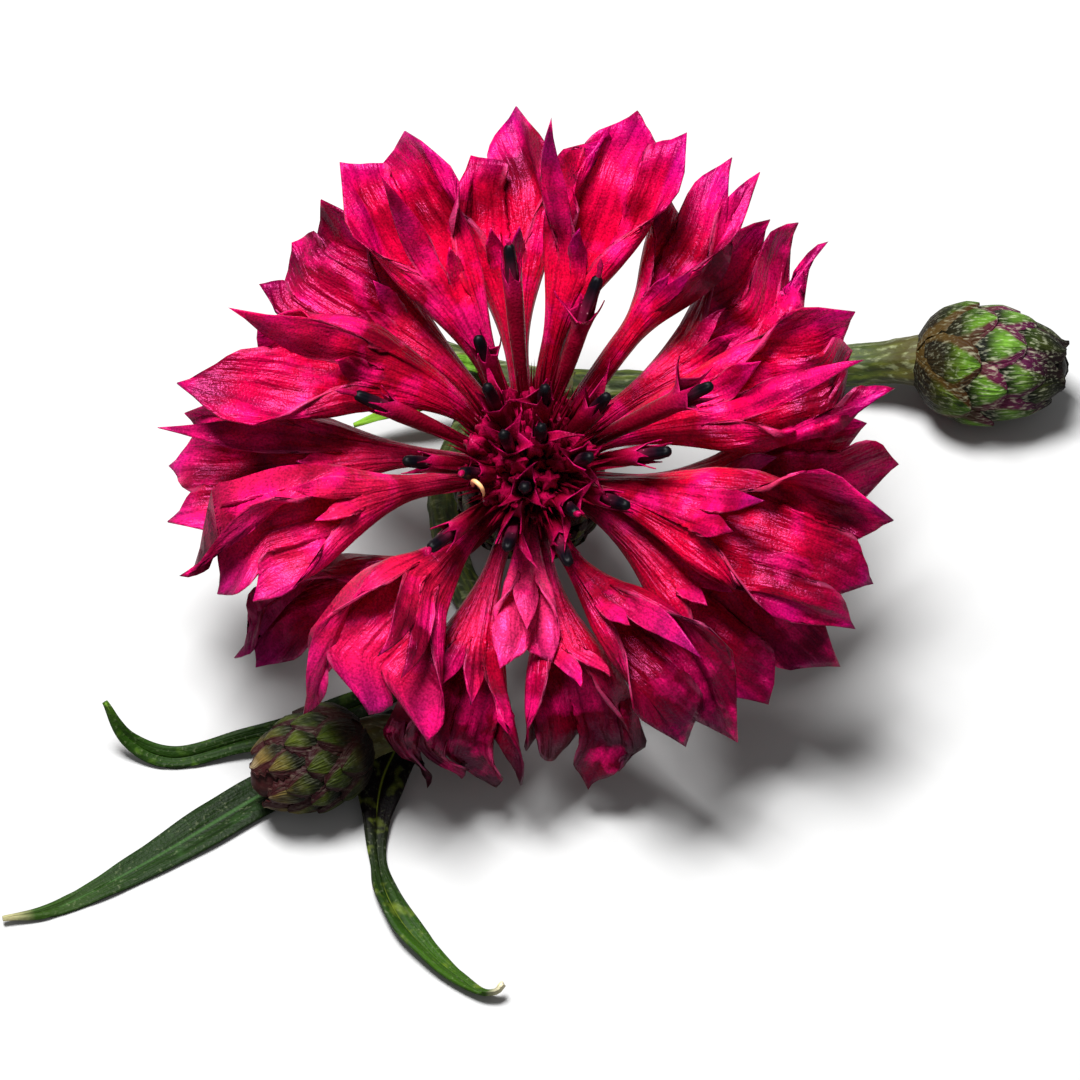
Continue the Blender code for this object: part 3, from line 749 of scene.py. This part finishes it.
# share along and radius (0..1)
budOutline = [
    (0, 0.38), (0.03, 0.52), (0.08, 0.73), (0.16, 0.88), (0.32, 0.98), (0.55, 0.95), (0.74, 0.78), (0.88, 0.53),
    (0.97, 0.3), (1, 0),
]
cupOutline = [
    (0, 0.25), (0.05, 0.4), (0.16, 0.66), (0.34, 0.9), (0.52, 0.97), (0.72, 0.93), (0.88, 0.83), (0.98, 0.7), (1, 0),
]
# base and tip in mm, radius, outline, number of bracts, their length and half width at the base and at the tip
buds = {
    "right_bud": ((24.4, 14.8, 3.6), (34, 13.8, 4.1), 3.4, budOutline, 23, (3.8, 3.9), (2.15, 1.35)),
    "left_bud": ((-9.9, -14, 3.9), (-16.9, -17.2, 3.5), 2.7, budOutline, 34, (2.6, 2.5), (1.4, 0.8)),
    "involucre": (onHeadAxis(-11.4), onHeadAxis(-0.2), 4.25, cupOutline, 70, (2.8, 3.4), (1.5, 1.1)),
}
bract = {
    "columns": 8,
    "rows": 14,
    "outline": [(0, 0.7), (0.3, 1), (0.55, 0.98), (0.75, 0.78), (0.9, 0.45), (1, 0.1)],
    "raisedTip": 0.4,  # mm
    "bulge": 0.4,
    "teeth": 0.2,  # mm, along the margin
    "thickness": 0.1,
    "tucked": 0.93,  # radius of the smooth heart to that of the bracts
}


def makeBud(name, material):
    base, tip, radius, outline, count, lengths, halfWidths = buds[name]
    base, tip = np.array(base), np.array(tip)
    total = np.linalg.norm(tip - base)
    along = (tip - base) / total
    right = unit(np.cross([along], [0, 0, 1]))[0]
    above = np.cross(right, along)
    draw = random.Random(count)

    line = base + np.linspace(0, 1, 40)[:, None] * (tip - base)
    heart, v, _, points, _ = addTube(
        f"{name}_heart", line, lambda v, angle: bract["tucked"] * radius * outlineAt(outline, v), 36, 30)
    setPoints(heart, fromSprig(points), 0.9, 0.2, v)
    turnOut(heart)

    scales = []
    for index in range(count):
        order = (index + 0.5) / count
        start = -0.06 + 0.72 * order**0.9
        turn = index * spiralTurn + draw.uniform(-0.12, 0.12)
        length = min(np.interp(order, [0, 1], lengths) * draw.uniform(0.9, 1.1), (1 - start) * total)
        halfWidth = np.interp(order, [0, 1], halfWidths) * draw.uniform(0.92, 1.08)
        scale, u, v = addSheet(f"{name}_bract", bract["columns"], bract["rows"])
        side = 2 * u - 1
        teeth = (np.abs(side) > 0.99) * (np.round(v * bract["rows"]) % 2) * (v > 0.25) * bract["teeth"]
        across = side * halfWidth * outlineAt(bract["outline"], v) + np.sign(side) * teeth
        share = start + v * length / total
        size = radius * outlineAt(outline, np.clip(share, 0, 0.96))
        lift = 0.02 + bract["bulge"] * (1 - side**2) * np.sin(v * 2.6) + bract["raisedTip"] * v**2.2
        outward = turned(above, right, turn + across / np.maximum(size, 0.8))
        points = base + along * (share * total)[:, None] + outward * (size + lift)[:, None]
        setPoints(scale, fromSprig(points), np.abs(side), v, share)
        scales.append(scale)
    scales = joinPieces(scales)
    thicken(scales, bract["thickness"], 0)
    piece = joinPieces([heart, scales])
    turnOut(piece, merge=False)
    piece.name = piece.data.name = f"{name}_scales"
    finishPiece(piece, material, name, sharp=60)


# leathery bract with a dry dark margin and some white down, dull; its colours go from base to tip of the bud, and its
# foot, where the bract above lies over it, is darker by painted shade
def bractLook(tree, spot, onBract, place, shadedFoot, heart, margin, down):
    shadedFoot, heart, margin = (addNode(tree, "ValToRGB", place["Z"], stops=stops) for stops in (shadedFoot, heart, margin))
    # painted shade: the foot of each bract, under the tip of the one above, is darker
    colour = tint(tree, shadedFoot, place["Y"], [(0.35, 0), (0.65, 1)], heart)
    colour, tone = addPatches(tree, colour, spot, 1.4 * mm, 3.0, [(0.32, 0.15), (0.62, 1)])
    ribs = addNode(tree, "VectorMath", onBract, (8.0, 1.5, 3.0), operation="MULTIPLY")
    colour, ribs = addPatches(tree, colour, ribs, 1.0, 2.0, [(0.35, 0.6), (0.6, 1)])

    # the margin starts on a wavy line that comes nearer to the middle at the tip of the bract
    outer = addNode(tree, "Math", tone, 0.5, -0.25, operation="MULTIPLY_ADD")
    outer = addNode(tree, "Math", place["X"], outer, operation="ADD")
    outer = addNode(tree, "Math", place["Y"], 0.5, outer, operation="MULTIPLY_ADD")
    colour = tint(tree, colour, outer, [(0.76, 0), (0.9, 1)], margin)

    hairs = addNode(tree, "VectorMath", spot, (0.3, 1.0, 1.0), operation="MULTIPLY")
    hairs = addNode(tree, "TexNoise", hairs, 1 / (0.18 * mm), 2.0)
    hairs = addNode(tree, "ValToRGB", hairs, stops=[(0.52, 0), (0.7, 1)])
    hairs = addNode(tree, "Math", hairs, down, operation="MULTIPLY")
    onMiddle = addNode(tree, "ValToRGB", place["Z"], stops=[(0.15, 0.3), (0.45, 1), (0.8, 1), (0.95, 0.2)])
    hairs = addNode(tree, "Math", hairs, onMiddle, operation="MULTIPLY")
    colour = addNode(tree, "Mix", hairs, colour, "#c4c8a8", data_type="RGBA")
    height = addNode(tree, "Math", tone, ribs, operation="ADD")
    bump = addNode(tree, "Bump", Strength=0.9, Distance=0.25 * mm, Height=height)
    return addNode(tree, "BsdfPrincipled", colour, Normal=bump, Roughness=0.55, IOR=1.45, Specular_IOR_Level=0.08)


# painted shade at the foot of the bracts, then heart and margin, from base to tip of the bud, then how white the down
# is
greenBract = makeMaterial(
    "downyGreenBract", bractLook,
    [(0.1, "#1c1406"), (0.5, "#141a04"), (0.8, "#0c0804")],
    [(0.1, "#4c4c12"), (0.35, "#40600e"), (0.6, "#5a842a"), (0.82, "#2c3410"), (1, "#100a08")],
    [(0.2, "#34260c"), (0.42, "#2c180a"), (0.55, "#48142c"), (0.75, "#380c28"), (0.88, "#100808")], 0.3)
darkBract = makeMaterial(
    "darkScaleBract", bractLook,
    [(0.1, "#180804"), (0.5, "#101404"), (0.9, "#181008")],
    [(0.1, "#241206"), (0.35, "#2a3604"), (0.65, "#3a420a"), (0.9, "#64502a"), (1, "#d4bc94")],
    [(0.2, "#1c0806"), (0.6, "#20080c"), (1, "#2c1010")], 0.04)
makeBud("right_bud", greenBract)
makeBud("left_bud", darkBract)
makeBud("involucre", darkBract)
print("buds made")

stem = {
    "sides": 56,
    "rowLength": 0.22,  # mm
    "ribs": 7,
    "ribDepth": 0.05,  # share of the radius
    "roughness": 0.07,  # mm
    "swelling": 0.3,  # share of the radius, under a bud
}

# name, points of the route in mm, radius at both ends
stemRows = [
    ("main_stem", [(-12.5, 19.7, 1.4), (-7, 17, 1.35), (-1.8, 14.7, 1.35), (3, 14, 1.45)], 1.35, 1.35),
    ("right_branch", [(2.5, 14, 1.44), (10, 13.9, 1.5), (16, 14.9, 1.8), (20.8, 15.15, 2.7), (24.2, 14.85, 3.55),
                      (25.4, 14.7, 3.65)], 1.35, 1.3),
    ("left_branch", [(-2.9, 14.2, 1.2), (-3.4, 12.9, 1), (-5.4, 7, 1), (-4.7, 1, 1), (-3.2, -3.6, 1.05),
                     (-4.3, -9, 1.7), (-6.9, -12.4, 3), (-9.6, -13.85, 3.8), (-10.8, -14.4, 3.85)], 1, 1),
    ("peduncle", [(0.72, 13.2, 1.6), (0.7, 12, 1.6), (0.6, 9.2, 1.2), (0.3, 6.9, 1.35), (0.08, 5.2, 2.1),
                  (0, 4.3, 3)], 1, 1.15),
]


def makeStem(name, route, first, last, material):
    line = smoothRoute(route)
    length = lineLength(line)

    def size(v, angle):
        rib = 1 + stem["ribDepth"] * np.cos(stem["ribs"] * angle + 2 * v)
        ends = np.interp(v, [0, 0.002, 0.998, 1], [0, 1, 1, 0])
        swollen = 1 + stem["swelling"] * ramp(0.86, 1, v) * name.endswith("branch")
        return (first + (last - first) * v) * rib * ends * swollen

    rows = int(length / stem["rowLength"])
    piece, v, angle, points, outward = addTube(f"{name}_skin", line, size, stem["sides"], rows)
    rough = stem["roughness"] * (noiseAt(points * 1.1, 3) + 0.4 * noiseAt(points * 3, 4))
    points = points + outward * (rough * ((v > 0.001) & (v < 0.999)))[:, None]
    setPoints(piece, fromSprig(points), angle, v * length, v)
    turnOut(piece)
    finishPiece(piece, material, name, sharp=50)


# woolly stem skin: grey-green with pale ribs along it, brown towards the bud, under a web of fine white hairs
def stemLook(tree, spot, onStem, place):
    streaks = addNode(tree, "VectorMath", onStem, (3.2, 0.5, 0.0), operation="MULTIPLY")
    streaks = addNode(tree, "TexNoise", streaks, 1.0, 3.0)
    colour = addNode(tree, "ValToRGB", streaks, stops=[(0.3, "#0e1604"), (0.5, "#28340a"), (0.7, "#4c5418")])
    colour = tint(tree, colour, place["Z"], [(0.82, 0), (0.95, 0.6)], "#3c3010")
    hairs = addNode(tree, "VectorMath", spot, (0.35, 1.0, 1.0), operation="MULTIPLY")
    colour, hairs = addPatches(tree, colour, hairs, 0.38 * mm, 3.0, [(0.54, 0), (0.7, 0.35)], "#98a078")
    bump = addNode(tree, "Bump", Strength=0.7, Distance=0.12 * mm, Height=hairs)
    return addNode(
        tree, "BsdfPrincipled", colour, Normal=bump, Roughness=0.6, IOR=1.45, Specular_IOR_Level=0.2,
        Sheen_Weight=0.08, Sheen_Tint="#dfe4cc")


stemSkin = makeMaterial("woollyStemSkin", stemLook)
for name, route, first, last in stemRows:
    makeStem(name, route, first, last, stemSkin)
print("stems made")

leaf = {
    "columns": 24,
    "rowLength": 0.25,  # mm
    "fold": 0.22,  # rise of the sides to the half width
    "groove": 0.1,  # mm, along the midrib
    "rolled": 0.1,  # mm, at the edges
    "thickness": 0.26,  # mm, or less in the narrow ones
}

# name, points of the route in mm, half widths along it, turn at the tip in degrees, colours along the leaf,
# colour of the midrib
leafRows = [
    ("leaf_long",
     [(-8.2, -10.2, 0.4), (-14.1, -14.4, 0.35), (-17.4, -16.6, 0.35), (-23.1, -20.7, 0.35), (-28.4, -24, 0.4),
      (-31.8, -25, 0.8)],
     [(0, 0.6), (0.3, 1.3), (0.5, 1.35), (0.75, 0.8), (1, 0.05)], 0,
     [(0, "#0a1404"), (0.3, "#0c1804"), (0.7, "#142808"), (0.93, "#243c0c"), (1, "#a09870")], "#2c4c20"),
    ("leaf_curled",
     [(-7.1, -8.4, 1.3), (-10.5, -10, 1.4), (-14.1, -11.6, 1.3), (-17.8, -12.4, 1), (-21.8, -13.3, 0.6),
      (-24.5, -12.6, 1.5), (-26, -11.4, 3.9)],
     [(0, 0.5), (0.2, 1.0), (0.35, 0.95), (0.6, 0.62), (0.75, 0.66), (0.9, 0.4), (1, 0.05)], 40,
     [(0, "#0c1c04"), (0.5, "#122404"), (0.9, "#1a3404"), (1, "#304c10")], "#608424"),
    ("leaf_twisted",
     [(-8.2, -13.3, 1.6), (-9, -15.2, 1.2), (-9.35, -17.4, 0.8), (-9.3, -20.4, 0.6), (-8.6, -23.4, 0.7),
      (-7.2, -26, 0.7), (-5.2, -28.3, 0.6), (-3.2, -30, 0.7), (-2.1, -30.3, 1), (-1.6, -30, 1.5)],
     [(0, 1.5), (0.12, 1.45), (0.24, 0.8), (0.36, 0.5), (0.48, 0.75), (0.62, 0.95), (0.78, 0.75), (0.93, 0.38),
      (1, 0.14)], 40,
     # its near-black foot is painted shadow of the florets above it
     [(0, "#040203"), (0.22, "#080304"), (0.36, "#101c04"), (0.6, "#1a3404"), (0.72, "#264404"),
      (0.94, "#244004"), (1, "#d8ccb0")], "#8c9c34"),
    ("leaf_back_left",
     [(-1.9, 12.4, 2.9), (-5, 12.3, 3.4), (-8.4, 11.6, 2.7), (-11.2, 11, 1.9)], [(0, 0.3), (0.5, 0.7), (1, 0.05)], 0,
     [(0, "#305410"), (0.7, "#5c8820"), (1, "#78a42c")], "#80a83c"),
    ("leaf_back_top",
     [(-2.2, 14.2, 3.1), (-4, 14.4, 3.8), (-5.6, 14.4, 4.2), (-7, 14.1, 4.4)], [(0, 0.3), (0.4, 0.55), (1, 0.05)], 0,
     [(0, "#305410"), (1, "#649424")], "#88b848"),
    ("leaf_back_right",
     [(9.8, 12.1, 2.2), (8.2, 11.9, 2.5), (7, 11.4, 2.6), (5.8, 10.7, 2.4)], [(0, 0.3), (0.4, 0.6), (1, 0.05)], 0,
     [(0, "#24400c"), (1, "#507c1c")], "#78a838"),
]


# leaf blade: green with a pale midrib, long faint veins and a thin grey down
def leafLook(tree, spot, onLeaf, place, colours, rib):
    colour = addNode(tree, "ValToRGB", place["Y"], stops=colours)
    veins = addNode(tree, "VectorMath", onLeaf, (7.0, 3.0, 0.0), operation="MULTIPLY")
    colour, veins = addPatches(tree, colour, veins, 1.0, 3.0, [(0.3, 0.5), (0.62, 1)])
    colour, _ = addPatches(tree, colour, spot, 1.1 * mm, 2.0, [(0.58, 0), (0.76, 0.25)], rib)
    middle = addNode(tree, "Math", place["X"], operation="ABSOLUTE")
    colour = tint(tree, colour, middle, [(0.03, 0.6), (0.12, 0)], rib)
    colour, down = addPatches(tree, colour, spot, 0.24 * mm, 2.0, [(0.6, 0), (0.75, 0.1)], "#a8b088")
    height = addNode(tree, "Math", veins, down, operation="ADD")
    bump = addNode(tree, "Bump", Strength=0.6, Distance=0.12 * mm, Height=height)
    return addNode(tree, "BsdfPrincipled", colour, Normal=bump, Roughness=0.55, IOR=1.45, Specular_IOR_Level=0.1)


def makeLeaf(name, route, halfWidths, tipTurn, material):
    line = smoothRoute(route)
    profile = smoothRoute(halfWidths)
    halfWidth = profile[:, 1].max()
    length = lineLength(line)
    piece, u, v = addSheet(f"{name}_blade", leaf["columns"], int(length / leaf["rowLength"]) + 12)
    side = 2 * u - 1
    middle, _, right, above = followLine(line, v)
    turn = np.radians(tipTurn * v)
    across, up = turned(above, right, turn), turned(-right, above, turn)
    wide = outlineAt(profile, v)
    wavy = 1 + 0.06 * noiseAt(np.stack([np.sign(side) * 3, v * length * 0.35, v * 0], axis=1), 6)
    groove = leaf["groove"] * np.exp(-((side / 0.14) ** 2)) * (1 - v**4)
    rolled = leaf["rolled"] * ramp(0.75, 1, np.abs(side))
    lift = leaf["fold"] * wide * np.abs(side) - groove - rolled
    lift += 0.12 * halfWidth * noiseAt(np.stack([side * 1.3, v * length * 0.4, v * 0], axis=1), 8)
    points = middle + across * (side * wide * wavy)[:, None] + up * lift[:, None]
    setPoints(piece, fromSprig(points), side, v)
    thicken(piece, min(leaf["thickness"], halfWidth * 0.3), 0)
    turnOut(piece)
    finishPiece(piece, material, name)


for name, route, halfWidths, tipTurn, colours, rib in leafRows:
    makeLeaf(name, route, halfWidths, tipTurn, makeMaterial(name + "Tissue", leafLook, colours, rib))
print("leaves made")

stage = {
    "floor": "#9c9c9c",
    "sky": 0.32,
    "lampPower": 5.0,
    "lampSize": 0.14,  # m
    "lampPlace": (-0.07, 0.06, 0.38),  # m from the middle of the head
    "elevation": 55,  # degrees, of the camera above the floor
    "distance": 400,  # mm
    "seenWidth": 65.7,  # mm, the width of the picture, at the head's distance
    "aimRight": 0.6,  # mm from the middle of the head
    "aimBelow": 4.26,
}


def makeStage():
    deselectAll()
    bpy.ops.mesh.primitive_plane_add(size=2)
    floor = bpy.context.object
    floor.name = "floor"
    paper = bpy.data.materials.new("paleFloor")
    paper.use_nodes = True
    shader = paper.node_tree.nodes["Principled BSDF"]
    shader.inputs["Base Color"].default_value = linearColour(stage["floor"])
    shader.inputs["Roughness"].default_value = 0.9
    floor.data.materials.append(paper)

    world = bpy.context.scene.world or bpy.data.worlds.new("studio")
    bpy.context.scene.world = world
    world.use_nodes = True
    sky = world.node_tree.nodes["Background"]
    sky.inputs["Color"].default_value = (1, 1, 1, 1)
    sky.inputs["Strength"].default_value = stage["sky"]

    key = bpy.data.lights.new("key", "AREA")
    key.energy = stage["lampPower"]
    key.size = stage["lampSize"]
    lamp = bpy.data.objects.new("key", key)
    bpy.context.scene.collection.objects.link(lamp)
    lamp.location = headMiddle + Vector(stage["lampPlace"])
    lamp.rotation_euler = (headMiddle - lamp.location).to_track_quat("-Z", "Y").to_euler()


def makeCamera():
    elevation = math.radians(stage["elevation"])
    distance = stage["distance"] * mm
    look = Vector((0, math.cos(elevation), -math.sin(elevation)))
    up = Vector((0, math.sin(elevation), math.cos(elevation)))
    aim = headMiddle + Vector((1, 0, 0)) * stage["aimRight"] * mm - up * stage["aimBelow"] * mm
    data = bpy.data.cameras.new("camera")
    camera = bpy.data.objects.new("camera", data)
    bpy.context.scene.collection.objects.link(camera)
    camera.location = aim - look * distance
    camera.rotation_euler = look.to_track_quat("-Z", "Y").to_euler()
    data.sensor_width = 36
    data.lens = data.sensor_width * distance / (stage["seenWidth"] * mm)
    data.clip_start = 0.01
    data.clip_end = 10
    bpy.context.scene.camera = camera


makeStage()
makeCamera()
bpy.context.scene.view_settings.view_transform = "Standard"
print("stage and camera set")
